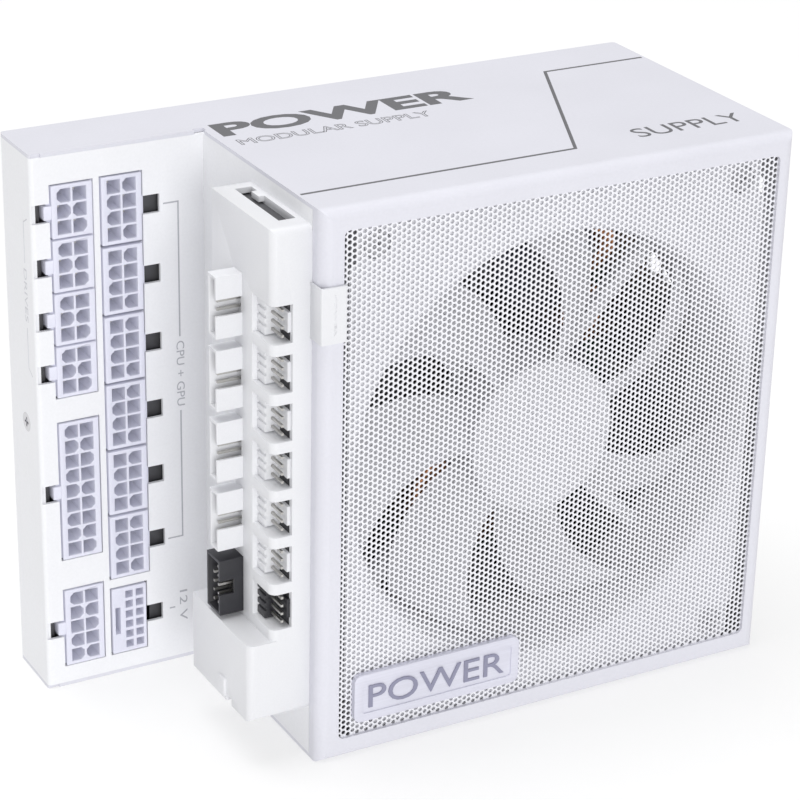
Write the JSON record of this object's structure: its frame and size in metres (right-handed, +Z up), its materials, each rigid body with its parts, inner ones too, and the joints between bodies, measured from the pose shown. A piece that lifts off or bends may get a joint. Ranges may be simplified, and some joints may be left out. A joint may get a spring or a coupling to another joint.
{
  "type": "computer power supply unit",
  "caption": "Modular computer power supply with a stepped white case, a perforated fan face, a panel of plug sockets and a detachable header hub.",
  "frame": {"origin": "middle of the case's footprint on the surface that it stands on", "axes": "+X towards the mains inlet end, +Y towards the back wall (the fan faces -Y), +Z up"},
  "size_m": [0.1849, 0.0869, 0.15],
  "materials": {
    "white_steel": "satin",
    "bare_steel": "satin",
    "white_mesh": "satin",
    "badge_metal": "satin",
    "white_plastic": "matte",
    "hub_plastic": "matte",
    "socket_plastic": "matte",
    "black_plastic": "matte",
    "pin_metal": "polished",
    "board_green": "satin",
    "board_black": "satin",
    "magnet_dark": "matte",
    "copper": "satin",
    "bearing_bronze": "satin",
    "can_sleeve": "gloss",
    "ferrite": "matte",
    "heatsink_aluminium": "satin",
    "film_yellow": "gloss",
    "clear_film": "matte",
    "wire_sleeve": "matte"
  },
  "bodies": {
    "case": {"ac_inlet": "black_plastic", "badge_plate": "badge_metal", "bulk_capacitors": "can_sleeve", "chassis_base": "white_steel", "connector_board": "board_black", "cover_screws": "bare_steel", "emi_chokes": "copper", "end_block": "bare_steel", "end_screw": "bare_steel", "fan_bearing": "bearing_bronze", "fan_board": "board_green", "fan_brackets": "bare_steel", "fan_cover": "white_steel", "fan_frame": "white_plastic", "fan_grille": "white_mesh", "fan_screws": "bare_steel", "fan_stator": "copper", "film_capacitors": "film_yellow", "heatsinks": "heatsink_aluminium", "inlet_pins": "pin_metal", "inlet_wiring": "wire_sleeve", "insulating_sheet": "clear_film", "main_board": "board_green", "output_capacitors": "can_sleeve", "pfc_choke": "copper", "socket_10pin": "socket_plastic", "socket_12way": "socket_plastic", "socket_18pin": "socket_plastic", "socket_6pin_1": "socket_plastic", "socket_6pin_2": "socket_plastic", "socket_6pin_3": "socket_plastic", "socket_6pin_4": "socket_plastic", "socket_8pin_1": "socket_plastic", "socket_8pin_2": "socket_plastic", "socket_8pin_3": "socket_plastic", "socket_8pin_4": "socket_plastic", "socket_8pin_5": "socket_plastic", "socket_8pin_6": "socket_plastic", "socket_pins": "pin_metal", "standoffs": "bare_steel", "switch_housing": "black_plastic", "transformer": "ferrite"},
    "rotor": {"fan_rotor": "white_plastic", "fan_shaft": "bare_steel", "fan_magnet": "magnet_dark"},
    "rocker": {"switch_rocker": "black_plastic"},
    "hub": {"hub_cover": "hub_plastic", "hub_base": "hub_plastic", "hub_magnets": "magnet_dark", "hub_board": "board_black", "hub_clip": "hub_plastic", "side_header_1": "hub_plastic", "side_header_2": "hub_plastic", "side_header_3": "hub_plastic", "side_header_4": "hub_plastic", "usb_header": "black_plastic", "front_headers": "hub_plastic", "black_header": "black_plastic", "hub_pins": "pin_metal"}
  },
  "joints": [
    {"name": "fan_spin", "type": "hinge", "parent": "case", "child": "rotor", "pos_m": [0.02395, -0.0283, 0.075], "axis": [0, 1, 0], "continuous": true},
    {"name": "rocker_press", "type": "hinge", "parent": "case", "child": "rocker", "pos_m": [0.087, 0.013, 0.078], "axis": [0, -1, 0], "range_deg": [0, 20]},
    {"name": "hub_pull", "type": "slide", "parent": "case", "child": "hub", "axis": [-1, 0, 0], "range_m": [0, 0.06]}
  ]
}
